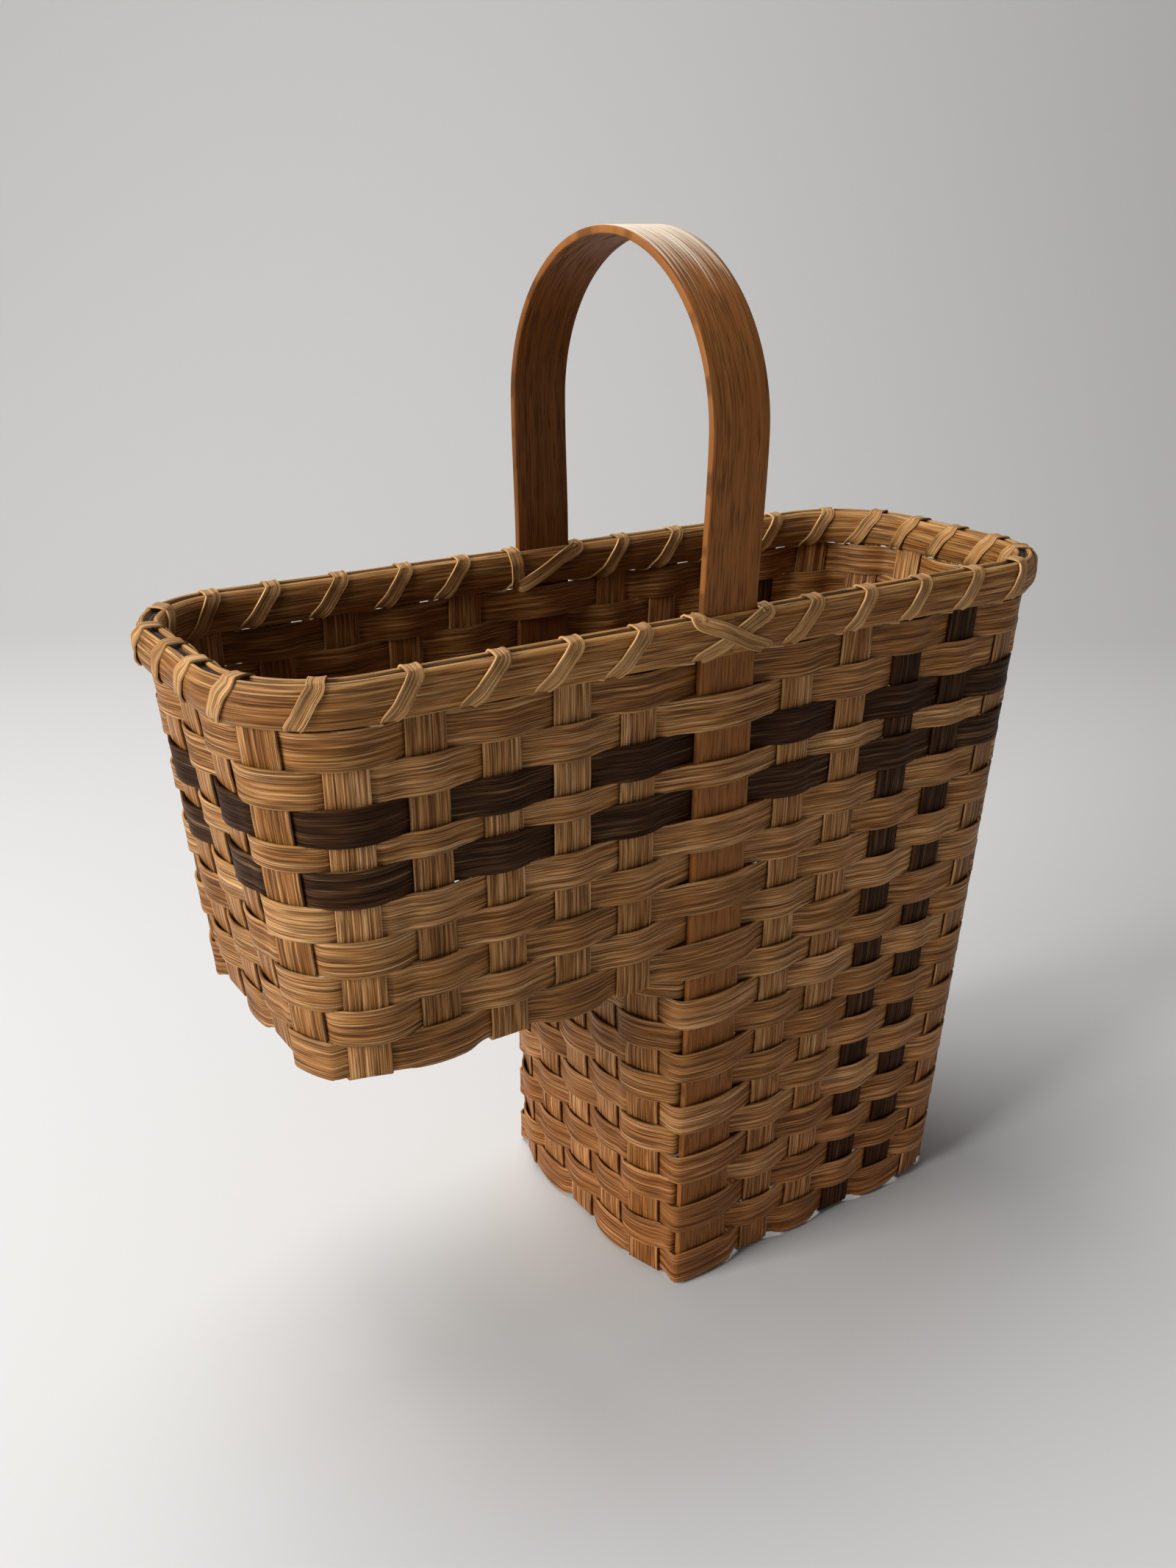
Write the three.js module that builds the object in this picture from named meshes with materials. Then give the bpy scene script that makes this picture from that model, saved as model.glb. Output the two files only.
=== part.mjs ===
// A stair basket of woven splint: the deep leg stands on one stair, and the shallow tray beside it
// rests on the stair above. Millimetres, +Z up. The front face looks towards -Y and the tray
// reaches towards -X. The origin is under the handle, on the surface that the leg stands on.
import * as THREE from 'three';

// Strips
const stakeWidth = 19;
const stakeThick = 1.4;
const weaverThick = 1.4;
const weaveClearance = 0.3; // left between strips that lie on each other
const rowGap = 0.5; // left between one row and the next
const foldRadius = 1.6; // of a stake's middle where it turns from a wall into a base
const flatMargin = 0.5; // how far a weaver runs flat past a stake's edge

// Rows, counted from the rim down
const trayRows = 10;
const trayRowPitch = 16.7;
const narrowRow = 4;
const narrowRowPitch = 11.4;
const dyedRows = [3, 5];
const legRows = 12;
const legRowPitch = 15.75;

// Plan of the walls, at the middle of the stakes
const footHalfWidth = 78.5;
const wallOutset = 2; // how much further out the front and rear stand at the top than at the foot
const footBackX = 183;
const backOutset = 45;
const trayEndLowX = -208;
const trayEndOutset = 20;
const footCorner = 30;
const trayCorner = 34;
const topCorner = 48;
const riserCorner = 36; // of the riser at the step
const riserSetbackLow = 9.1; // from the handle's edge to the riser, at the foot
const riserSetbackTop = 17.1; // and at the step

// Stakes
const longPitch = 30; // about how far apart the long stakes lie
const longInset = 19.5; // from the front wall to the middle of the outer long stake
const trayStakes = 5;
const legStakes = 5;
const dyedLegStakes = [3, 4];
const riserGap = 6.5; // from the riser to the nearest tray stake
const handleGapLow = 12.6; // from the handle to the nearest leg stake, at the foot
const handleGapTop = 20; // and at the top
const trayInsetLow = 21; // from the tray's end to its nearest tray stake, at the base
const trayInsetTop = 36; // and at the top
const backInsetLow = 23; // from the back wall to its nearest leg stake, at the base
const backInsetTop = 34; // and at the top
const handleStakeRise = 15; // height of the ends turned up behind the handle

// Handle
const handleWidth = 31.8;
const handleThick = 4;
const handleLift = 1; // the legs end just above the floor
const archOutset = 3; // from the top of the walls out to the sides of the arch
const archAboveRim = 79;
const handleEdge = 0.6;

// Rims and lashing
const rimHeight = 19;
const rimThick = 4.5;
const rimRound = 2;
const fillerHeight = 6;
const fillerSunk = 0.8;
const lashWidth = 7; // along the rim
const lashThick = 1;
const lashClearance = 0.5;
const lashTurnIn = 2.5; // how far the lashing cuts its corners
const lashGap = 1.5; // beside the handle, and between the turns there
const lashSlant = 11; // how far a turn moves along the rim as it climbs the outside
const lashLean = 0.4; // slope of the strip at its turned corners
const plainOutside = [0.5]; // where a turn touches the outer rim, as shares of the way up
const plainInside = [0.6]; // and the inner rim, as shares of the way down
const crossOutside = [0.28, 0.72]; // where the upper turn of a cross stands off the lower
const crossInside = [0.58, 0.93];

// Colours
const honeyReed = { color: 0xb5854a, roughness: 0.62, metalness: 0 };
const dyedReed = { color: 0x3a2a22, roughness: 0.6, metalness: 0 };
const bentOak = { color: 0x8f5f3c, roughness: 0.5, metalness: 0 };
const paleReed = { color: 0xc8a06a, roughness: 0.6, metalness: 0 };

const { lerp } = THREE.MathUtils;
const up = new THREE.Vector3(0, 0, 1);
const cornerSteps = 10; // of a rim round one corner
const wallSteps = 9; // of a stake up a wall

// Sizes that follow from the ones above
const topHalfWidth = footHalfWidth + wallOutset;
const topBackX = footBackX + backOutset;
const trayEndTopX = trayEndLowX - trayEndOutset;
const archRadius = topHalfWidth + archOutset;
const longSpan = 2 * (footHalfWidth - longInset);
const longStakes = Math.round(longSpan / longPitch) + 1;
const longSpacing = longSpan / (longStakes - 1);
const stakeCross = stakeThick / 2 + weaveClearance + weaverThick / 2;
const handleCross = handleThick / 2 + weaveClearance + weaverThick / 2;
const baseCross = stakeThick + weaveClearance;
const footMid = baseCross + stakeThick / 2;
const weaveBottom = footMid + foldRadius + weaveClearance;
const stepZ = weaveBottom + legRows * legRowPitch;
const trayMid = stepZ - foldRadius - weaveClearance;
const wallTop = stepZ + (trayRows - 1) * trayRowPitch + narrowRowPitch;
const rimSeat = handleThick / 2 + weaveClearance;
const rimBottom = wallTop + lashThick + 2 * weaveClearance;
const rimTop = rimBottom + rimHeight;
const fillerTop = rimTop - fillerSunk;
const stakeTop = fillerTop - fillerHeight - lashClearance;
const riserLowX = -(handleWidth / 2 + riserSetbackLow);
const riserTopX = -(handleWidth / 2 + riserSetbackTop);

const basket = new THREE.Group();

function add(name, geometry, finish) {
  const mesh = new THREE.Mesh(geometry, new THREE.MeshStandardMaterial(finish));
  mesh.name = name;
  basket.add(mesh);
}

// A closed body from a run of sections. Each section is a list of corners in the same order.
function skin(sections, closed) {
  const corners = sections[0].length;
  const positions = sections.flat().flatMap((p) => [p.x, p.y, p.z]);
  const index = [];
  const last = closed ? sections.length : sections.length - 1;
  for (let i = 0; i < last; i++) {
    const here = i * corners;
    const next = ((i + 1) % sections.length) * corners;
    for (let j = 0; j < corners; j++) {
      const k = (j + 1) % corners;
      index.push(here + j, next + j, next + k, here + j, next + k, here + k);
    }
  }
  if (!closed) {
    const end = (sections.length - 1) * corners;
    for (let j = 1; j < corners - 1; j++) {
      index.push(0, j, j + 1, end, end + j + 1, end + j);
    }
  }
  const geometry = new THREE.BufferGeometry();
  geometry.setAttribute('position', new THREE.Float32BufferAttribute(positions, 3));
  geometry.setIndex(facesOut(positions, index));
  return geometry;
}

// The faces turned so that they enclose a positive volume
function facesOut(positions, index) {
  const at = (i) => new THREE.Vector3().fromArray(positions, i * 3);
  let volume = 0;
  for (let i = 0; i < index.length; i += 3) {
    volume += at(index[i]).dot(at(index[i + 1]).cross(at(index[i + 2])));
  }
  return volume > 0 ? index : index.reverse();
}

// The four corners of a flat strip: its middle, half its width and half its thickness as vectors
function flatSection(middle, wide, thick) {
  const corner = (a, b) => middle.clone().addScaledVector(wide, a).addScaledVector(thick, b);
  return [corner(1, 1), corner(-1, 1), corner(-1, -1), corner(1, -1)];
}

// The walls' outline at one height: a rectangle with round corners, measured anticlockwise from
// where the front face leaves its left corner
function outline(z, tray) {
  const rise = z / wallTop;
  const half = lerp(footHalfWidth, topHalfWidth, rise);
  const backX = lerp(footBackX, topBackX, rise);
  const backR = lerp(footCorner, topCorner, rise);
  const leftRise = tray ? (z - stepZ) / (wallTop - stepZ) : z / stepZ;
  const [lowX, highX] = tray ? [trayEndLowX, trayEndTopX] : [riserLowX, riserTopX];
  const [lowR, highR] = tray ? [trayCorner, topCorner] : [footCorner, riserCorner];
  const leftX = lerp(lowX, highX, leftRise);
  const leftR = lerp(lowR, highR, leftRise);
  const quarter = Math.PI / 2;
  const straight = backX - backR - leftX - leftR;
  const pieces = [
    { length: straight, from: [leftX + leftR, -half], way: [1, 0] },
    { length: backR * quarter, hub: [backX - backR, backR - half], r: backR, start: -quarter },
    { length: 2 * (half - backR), from: [backX, backR - half], way: [0, 1] },
    { length: backR * quarter, hub: [backX - backR, half - backR], r: backR, start: 0 },
    { length: straight, from: [backX - backR, half], way: [-1, 0] },
    { length: leftR * quarter, hub: [leftX + leftR, half - leftR], r: leftR, start: quarter },
    { length: 2 * (half - leftR), from: [leftX, half - leftR], way: [0, -1] },
    { length: leftR * quarter, hub: [leftX + leftR, leftR - half], r: leftR, start: 2 * quarter },
  ];
  let length = 0;
  for (const piece of pieces) {
    piece.begin = length;
    length += piece.length;
  }
  return { z, half, backX, backR, leftX, leftR, pieces, length };
}

// The point at a distance along an outline, with its outward direction
function spotAt(loop, distance) {
  const s = THREE.MathUtils.euclideanModulo(distance, loop.length);
  const piece = loop.pieces.findLast((one) => s >= one.begin);
  const along = s - piece.begin;
  if (piece.way) {
    const [wx, wy] = piece.way;
    const point = new THREE.Vector3(piece.from[0] + wx * along, piece.from[1] + wy * along, loop.z);
    return { point, out: new THREE.Vector3(wy, -wx, 0) };
  }
  const angle = piece.start + along / piece.r;
  const out = new THREE.Vector3(Math.cos(angle), Math.sin(angle), 0);
  const hub = new THREE.Vector3(...piece.hub, loop.z);
  return { point: hub.addScaledVector(out, piece.r), out };
}

// How far along the outline the front or rear face has a given x
function faceDistance(loop, x, rear) {
  const { backX, backR, leftX, leftR, pieces } = loop;
  const pastBack = Math.max(x - (backX - backR), 0);
  const pastLeft = Math.max(leftX + leftR - x, 0);
  const bent = backR * Math.asin(pastBack / backR) - pastBack;
  const bentLeft = leftR * Math.asin(pastLeft / leftR) - pastLeft;
  const run = x - (leftX + leftR) + bent - bentLeft;
  return rear ? pieces[4].begin + pieces[4].length - run : run;
}

// How far along the outline an end wall has a given y
function endDistance(loop, y, left) {
  const radius = left ? loop.leftR : loop.backR;
  const past = Math.max(Math.abs(y) - (loop.half - radius), 0);
  const run = Math.sign(y) * (Math.abs(y) + radius * Math.asin(past / radius) - past);
  const piece = loop.pieces[left ? 6 : 2];
  return piece.begin + piece.length / 2 + (left ? -run : run);
}

// Where the stakes stand
function longY(i) {
  return (i - (longStakes - 1) / 2) * longSpacing;
}

function trayStakeX(i, z) {
  const first = riserTopX - riserGap - stakeWidth / 2;
  const rise = (z - stepZ) / (wallTop - stepZ);
  const last = outline(z, true).leftX + lerp(trayInsetLow, trayInsetTop, rise);
  return lerp(first, last, i / (trayStakes - 1));
}

function legStakeX(i, z) {
  const rise = z / wallTop;
  const first = handleWidth / 2 + lerp(handleGapLow, handleGapTop, rise) + stakeWidth / 2;
  const last = outline(z, false).backX - lerp(backInsetLow, backInsetTop, rise);
  return lerp(first, last, i / (legStakes - 1));
}

const onWall = (alongAt, tray) => (z) => {
  const loop = outline(z, tray);
  return spotAt(loop, alongAt(loop));
};
const faceAlong = (xAt, rear) => (loop) => faceDistance(loop, xAt(loop.z), rear);
const onFace = (xAt, rear, tray) => onWall(faceAlong(xAt, rear), tray);
const endAlong = (y, left) => (loop) => endDistance(loop, y, left);
const onEnd = (y, left, tray) => onWall(endAlong(y, left), tray);
const onHandle = (rear) => (z) => {
  const side = rear ? 1 : -1;
  const point = new THREE.Vector3(0, side * outline(z, true).half, z);
  return { point, out: new THREE.Vector3(0, side, 0) };
};

// The upright crossings of a ring, anticlockwise from the front left. odd says that the stake
// shows on the odd rows, where the weaver passes behind it.
function crossings(tray) {
  const stake = (along, odd, left) => {
    return { along, spot: onWall(along, tray), odd, half: stakeWidth / 2, left };
  };
  const side = (rear) => {
    const list = [];
    if (tray) {
      for (let i = trayStakes - 1; i >= 0; i--) {
        list.push(stake(faceAlong((z) => trayStakeX(i, z), rear), i % 2 === 1));
      }
    }
    const along = faceAlong(() => 0, rear);
    list.push({ along, spot: onHandle(rear), odd: true, half: handleWidth / 2, handle: true });
    for (let i = 0; i < legStakes; i++) {
      list.push(stake(faceAlong((z) => legStakeX(i, z), rear), i % 2 === 1));
    }
    return rear ? list.reverse() : list;
  };
  const end = (left) => {
    const list = [];
    for (let i = 0; i < longStakes; i++) {
      const odd = (i % 2 === 0) !== (left && !tray);
      list.push(stake(endAlong(longY(i), left), odd, left));
    }
    return left ? list.reverse() : list;
  };
  return [...side(false), ...end(false), ...side(true), ...end(true)];
}

// One row: a band that passes over and under the stakes, all the way round
function weaverRow(row, bottom, top) {
  const tray = row <= trayRows;
  const topAtRiser = trayMid - baseCross - stakeThick / 2 - rowGap;
  const sections = [];
  for (const { spot, odd, half, handle, left } of crossings(tray)) {
    const bandTop = left && !tray ? Math.min(top, topAtRiser) : top;
    const inside = odd === (row % 2 === 1);
    const shift = (inside ? -1 : 1) * (handle ? handleCross : stakeCross);
    for (const edge of [-1, 1]) {
      const at = (z) => {
        const { point, out } = spot(z);
        const along = new THREE.Vector3(-out.y, out.x, 0);
        return point.addScaledVector(along, edge * (half + flatMargin)).addScaledVector(out, shift);
      };
      const low = at(bottom);
      const high = at(bandTop);
      const wide = high.clone().sub(low).divideScalar(2);
      const thick = spot((bottom + bandTop) / 2).out.multiplyScalar(weaverThick / 2);
      sections.push(flatSection(low.add(wide), wide, thick));
    }
  }
  const dyed = dyedRows.includes(row);
  const name = `weaver_row_${String(row).padStart(2, '0')}`;
  add(name, skin(sections, true), dyed ? dyedReed : honeyReed);
}

// A stake's section on a wall. way is 1 where the strip runs up and -1 where it runs down.
function wallSection(spot, z, way) {
  const { point, out } = spot(z);
  const wide = up.clone().multiplyScalar(way).cross(out).multiplyScalar(stakeWidth / 2);
  return flatSection(point, wide, out.multiplyScalar(stakeThick / 2));
}

// A stake's sections up or down a wall, between two heights
function wallRun(spot, from, to) {
  const sections = [];
  for (let i = 0; i <= wallSteps; i++) {
    sections.push(wallSection(spot, lerp(from, to, i / wallSteps), Math.sign(to - from)));
  }
  return sections;
}

// A stake's section in a base. heading is the level direction that the strip runs in.
function baseSection(point, heading) {
  const down = up.clone().negate();
  const wide = heading.clone().cross(down).multiplyScalar(stakeWidth / 2);
  return flatSection(point, wide, down.multiplyScalar(stakeThick / 2));
}

// Where a strip leaves a wall for a base: past the fold, and past the slant of a turned stake
function foldStart(spot, z, heading) {
  const { point, out } = spot(z);
  const slant = Math.abs(out.x * heading.y - out.y * heading.x) * (stakeWidth / 2);
  const inward = -Math.sign(out.dot(heading));
  return point.addScaledVector(heading, inward * (foldRadius + slant));
}

// A stake that runs down one wall, across a base and up the wall opposite
function crossStake(name, front, rear, mid, finish) {
  const heading = new THREE.Vector3(0, 1, 0);
  const foldTop = mid + foldRadius;
  const sections = [
    ...wallRun(front, stakeTop, foldTop),
    baseSection(foldStart(front, mid, heading), heading),
    baseSection(foldStart(rear, mid, heading), heading),
    ...wallRun(rear, foldTop, stakeTop),
  ];
  add(name, skin(sections, false), finish);
}

// The stretch of a long stake that crosses a base, above and below the cross stakes in turn
function wovenBase(y, mid, places) {
  const heading = new THREE.Vector3(1, 0, 0);
  const reach = stakeWidth / 2 + flatMargin;
  return places.flatMap(({ x, above }) => [-reach, reach].map((step) => {
    const lift = above ? baseCross : -baseCross;
    return baseSection(new THREE.Vector3(x + step, y, mid + lift), heading);
  }));
}

// A stake that runs down the tray's end, under the tray, down the riser, under the leg and up
// the back
function longStake(i) {
  const y = longY(i);
  const heading = new THREE.Vector3(1, 0, 0);
  const end = onEnd(y, true, true);
  const riser = onEnd(y, true, false);
  const back = onEnd(y, false, true);
  const trayPlaces = [];
  for (let k = trayStakes - 1; k >= 0; k--) {
    trayPlaces.push({ x: trayStakeX(k, trayMid), above: (i + k) % 2 === 1 });
  }
  const footPlaces = [{ x: 0, above: i % 2 === 0 }];
  for (let k = 0; k < legStakes; k++) {
    footPlaces.push({ x: legStakeX(k, footMid), above: (i + k) % 2 === 1 });
  }
  const turn = foldStart(riser, trayMid, heading);
  const inset = turn.x - riser(trayMid).point.x;
  const sections = [
    ...wallRun(end, stakeTop, trayMid + foldRadius),
    baseSection(foldStart(end, trayMid, heading), heading),
    ...wovenBase(y, trayMid, trayPlaces),
    baseSection(turn.setX(riser(trayMid).point.x - inset), heading),
    ...wallRun(riser, trayMid - foldRadius, footMid + foldRadius),
    baseSection(foldStart(riser, footMid, heading), heading),
    ...wovenBase(y, footMid, footPlaces),
    baseSection(foldStart(back, footMid, heading), heading),
    ...wallRun(back, footMid + foldRadius, stakeTop),
  ];
  add(`long_stake_${i + 1}`, skin(sections, false), honeyReed);
}

// The short stake under the handle, with its ends turned up behind the legs
function handleStake() {
  const heading = new THREE.Vector3(0, 1, 0);
  const back = handleThick / 2 + weaveClearance + stakeThick / 2;
  const behind = (rear) => (z) => {
    const { point, out } = onHandle(rear)(z);
    return { point: point.addScaledVector(out, -back), out };
  };
  const top = footMid + handleStakeRise;
  const foldTop = footMid + foldRadius;
  const sections = [
    wallSection(behind(false), top, -1),
    wallSection(behind(false), foldTop, -1),
    baseSection(foldStart(behind(false), footMid, heading), heading),
    baseSection(foldStart(behind(true), footMid, heading), heading),
    wallSection(behind(true), foldTop, 1),
    wallSection(behind(true), top, 1),
  ];
  add('handle_stake', skin(sections, false), honeyReed);
}

// The bent handle: two legs that follow the walls down to the foot, and a round arch
function bentHandle() {
  const archZ = rimTop + archAboveRim;
  const wall = (z) => outline(z, true).half;
  const side = (shift, rear) => {
    const way = rear ? 1 : -1;
    return [
      [way * (wall(handleLift) + shift), handleLift],
      [way * (wall(rimTop) + shift), rimTop],
      [way * (archRadius + shift), archZ],
    ];
  };
  const half = handleThick / 2;
  const shape = new THREE.Shape();
  const [footOut, rimOut, archOut] = side(half, true);
  shape.moveTo(...footOut);
  shape.lineTo(...rimOut);
  shape.lineTo(...archOut);
  shape.absarc(0, archZ, archRadius + half, 0, Math.PI, false);
  const [frontFoot, frontRim] = side(half, false);
  shape.lineTo(...frontRim);
  shape.lineTo(...frontFoot);
  const [footIn, rimIn, archIn] = side(-half, false);
  shape.lineTo(...footIn);
  shape.lineTo(...rimIn);
  shape.lineTo(...archIn);
  shape.absarc(0, archZ, archRadius - half, Math.PI, 0, true);
  const [rearFoot, rearRim] = side(-half, true);
  shape.lineTo(...rearRim);
  shape.lineTo(...rearFoot);
  const geometry = new THREE.ExtrudeGeometry(shape, {
    depth: handleWidth - 2 * handleEdge,
    bevelEnabled: true,
    bevelSize: handleEdge,
    bevelOffset: -handleEdge,
    bevelThickness: handleEdge,
    bevelSegments: 1,
    curveSegments: 14,
  });
  geometry.translate(0, 0, handleEdge - handleWidth / 2);
  const toYZ = new THREE.Matrix4().makeBasis(
    new THREE.Vector3(0, 1, 0),
    new THREE.Vector3(0, 0, 1),
    new THREE.Vector3(1, 0, 0),
  );
  add('handle', geometry.applyMatrix4(toYZ), bentOak);
}

const rimLoop = outline((rimBottom + rimTop) / 2, true);

// Distances along the rim that take in the round corners, from one distance to another
function rimSteps(from, to) {
  const marks = [from];
  for (let turn = -1; turn <= 1; turn++) {
    for (const piece of rimLoop.pieces) {
      const steps = piece.way ? 1 : cornerSteps;
      for (let i = 0; i < steps; i++) {
        const mark = turn * rimLoop.length + piece.begin + (piece.length * i) / steps;
        if (mark > from && mark < to) marks.push(mark);
      }
    }
  }
  return [...marks, to].sort((a, b) => a - b);
}

// A section given as [distance outwards from the stakes' middle, height] corners, set on the rim
function rimSection(distance, corners) {
  const { point, out } = spotAt(rimLoop, distance);
  return corners.map(([away, z]) => point.clone().addScaledVector(out, away).setZ(z));
}

// An outer or inner rim: flat towards the stakes, with its other edges rounded off
function rim(name, way) {
  const near = way * rimSeat;
  const far = way * (rimSeat + rimThick);
  const soft = way * (rimSeat + rimThick - rimRound);
  const corners = [
    [near, rimBottom], [soft, rimBottom], [far, rimBottom + rimRound],
    [far, rimTop - rimRound], [soft, rimTop], [near, rimTop],
  ];
  const marks = rimSteps(0, rimLoop.length).slice(0, -1);
  add(name, skin(marks.map((mark) => rimSection(mark, corners)), true), paleReed);
}

// The dark strip between the rims, over the stakes' ends, from one leg of the handle to the other
function filler(name, from, to) {
  const half = rimSeat - weaveClearance;
  const low = fillerTop - fillerHeight;
  const corners = [[-half, low], [half, low], [half, fillerTop], [-half, fillerTop]];
  const past = handleWidth / 2 + weaveClearance;
  const marks = rimSteps(from + past, to - past);
  add(name, skin(marks.map((mark) => rimSection(mark, corners)), false), dyedReed);
}

// The turns of the lashing. Each turn leaves the basket under the rim at start, climbs the outer
// rim to over, and comes down inside to the next start. The handle takes a cross of two turns.
function lashTurns() {
  const stations = crossings(true).map(({ along, handle }) => ({ handle, at: along(rimLoop) }));
  const beside = handleWidth / 2 + lashGap + lashWidth / 2;
  const lap = stations[0].at + rimLoop.length;
  const turns = [];
  let start = (stations.at(-1).at + lap) / 2 - rimLoop.length;
  stations.forEach(({ handle, at }, i) => {
    const next = i + 1 < stations.length ? stations[i + 1].at : lap;
    if (handle) {
      turns.push({ start: at - beside, over: at + beside });
      turns.push({ start: at + beside, over: at - beside, crossed: true });
      start = at + beside + lashWidth + lashGap;
    } else {
      turns.push({ start, over: start + lashSlant });
      start = (at + next) / 2;
    }
  });
  turns.end = start;
  return turns;
}

// The lashing: one flat strip wound round both rims
function lashing() {
  const away = rimSeat + rimThick + lashClearance + lashThick / 2;
  const under = rimBottom - weaveClearance - lashThick / 2;
  const over = rimTop + lashClearance + lashThick / 2;
  const lift = lashThick + weaveClearance;
  const stops = [];
  const stop = (distance, out, z, lean) => {
    const { point, out: way } = spotAt(rimLoop, distance);
    const wide = up.clone().cross(way).multiplyScalar(lashWidth / 2);
    point.addScaledVector(way, out).setZ(z);
    const thick = way.multiplyScalar(lean[0]).addScaledVector(up, lean[1]);
    stops.push(flatSection(point, wide, thick.setLength(lashThick / 2)));
  };
  const face = (from, to, low, high, side, shares, raised) => {
    for (const share of shares) {
      stop(lerp(from, to, share), side * (away + raised), lerp(low, high, share), [side, 0]);
    }
  };
  const turns = lashTurns();
  turns.forEach(({ start, over: top, crossed }, i) => {
    const next = i + 1 < turns.length ? turns[i + 1].start : turns.end;
    const low = under + lashTurnIn;
    const high = over - lashTurnIn;
    stop(start, away - lashTurnIn, under, [lashLean, -1]);
    stop(start, away, low, [1, -lashLean]);
    face(start, top, low, high, 1, crossed ? crossOutside : plainOutside, crossed ? lift : 0);
    stop(top, away, high, [1, lashLean]);
    stop(top, away - lashTurnIn, over, [lashLean, 1]);
    stop(top, lashTurnIn - away, over, [-lashLean, 1]);
    stop(top, -away, high, [-1, lashLean]);
    if (crossed) face(top, next, high, low, -1, crossInside, lift);
    if (i + 1 < turns.length) {
      stop(next, -away, low, [-1, -lashLean]);
      stop(next, lashTurnIn - away, under, [-lashLean, -1]);
    } else {
      face(top, next, high, low, -1, plainInside, 0);
    }
  });
  add('rim_lashing', skin(stops, false), paleReed);
}

// The assembly
let bottom = weaveBottom;
for (let row = trayRows + legRows; row >= 1; row--) {
  let pitch = row > trayRows ? legRowPitch : trayRowPitch;
  if (row === narrowRow) pitch = narrowRowPitch;
  weaverRow(row, bottom, bottom + pitch - rowGap);
  bottom += pitch;
}
for (let i = 0; i < longStakes; i++) longStake(i);
for (let i = 0; i < trayStakes; i++) {
  const x = (z) => trayStakeX(i, z);
  crossStake(`tray_stake_${i + 1}`, onFace(x, false, true), onFace(x, true, true), trayMid, honeyReed);
}
for (let i = 0; i < legStakes; i++) {
  const x = (z) => legStakeX(i, z);
  const finish = dyedLegStakes.includes(i + 1) ? dyedReed : honeyReed;
  crossStake(`leg_stake_${i + 1}`, onFace(x, false, true), onFace(x, true, true), footMid, finish);
}
handleStake();
bentHandle();
rim('outer_rim', 1);
rim('inner_rim', -1);
const frontHandle = faceDistance(rimLoop, 0, false);
const rearHandle = faceDistance(rimLoop, 0, true);
filler('rim_filler_back', frontHandle, rearHandle);
filler('rim_filler_tray', rearHandle, frontHandle + rimLoop.length);
lashing();

export default basket;
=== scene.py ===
# A stair basket of woven splint with a bent oak handle, seen from above its front left corner
from functools import partial
from math import asin, cos, hypot, pi, radians, sin

import bmesh
import bpy
from mathutils import Matrix, Vector, noise


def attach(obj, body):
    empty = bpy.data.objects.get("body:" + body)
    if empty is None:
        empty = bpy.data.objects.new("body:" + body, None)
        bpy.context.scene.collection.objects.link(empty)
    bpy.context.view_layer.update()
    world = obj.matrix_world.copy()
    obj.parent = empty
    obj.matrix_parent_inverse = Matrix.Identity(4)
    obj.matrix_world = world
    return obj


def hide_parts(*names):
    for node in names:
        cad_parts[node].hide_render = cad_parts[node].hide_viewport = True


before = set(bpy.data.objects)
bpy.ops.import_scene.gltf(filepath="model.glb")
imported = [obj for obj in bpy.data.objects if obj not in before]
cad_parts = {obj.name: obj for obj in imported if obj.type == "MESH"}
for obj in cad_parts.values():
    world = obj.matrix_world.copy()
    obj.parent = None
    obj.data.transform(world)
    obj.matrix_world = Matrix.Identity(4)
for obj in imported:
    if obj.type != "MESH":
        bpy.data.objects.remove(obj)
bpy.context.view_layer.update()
mm = 0.001

# The basket's plan and heights and its woven rows, in millimetres, as in the solids
basket = {
    "footHalfWidth": 78.5,
    "topHalfWidth": 80.5,
    "footBackX": 183,
    "topBackX": 228,
    "trayEndLowX": -208,
    "trayEndTopX": -228,
    "footCorner": 30,
    "trayCorner": 34,
    "topCorner": 48,
    "riserCorner": 36,
    "riserLowX": -25,
    "riserTopX": -33,
    "footMid": 2.4,
    "weaveBottom": 4.3,
    "stepZ": 193.3,
    "trayMid": 191.4,
    "wallTop": 355.0,
    "rimBottom": 356.6,
    "rimTop": 375.6,
    "stakeTop": 368.3,
}
rows = {
    "tray": 10,
    "leg": 12,
    "trayPitch": 16.7,
    "legPitch": 15.75,
    "narrowRow": 4,
    "narrowPitch": 11.4,
    "dyed": (3, 5),
}
lastRows = (rows["tray"], rows["tray"] + rows["leg"])  # the lowest of the tray and of the leg


def mix(a, b, share):
    return a + (b - a) * share


def clamped(value, low=0, high=1):
    return max(low, min(high, value))


# From 0 to 1 with a slow start and a slow end
def eased(share):
    return share * share * (3 - 2 * share)


# Slow random drift between -1 and 1
def wobble(place, seed, size):
    return noise.noise(Vector((place / size, seed * 7.31, 0.5)))


# How light a strip is along its length: a slow drift and a fixed part
def driftTone(seed, size, amount, own=0):
    return lambda s: wobble(s, seed, size) * amount + own


# The fixed part, which differs between neighbours
def ownTone(number, kind):
    return wobble(number * 50, kind, 33)


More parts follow.
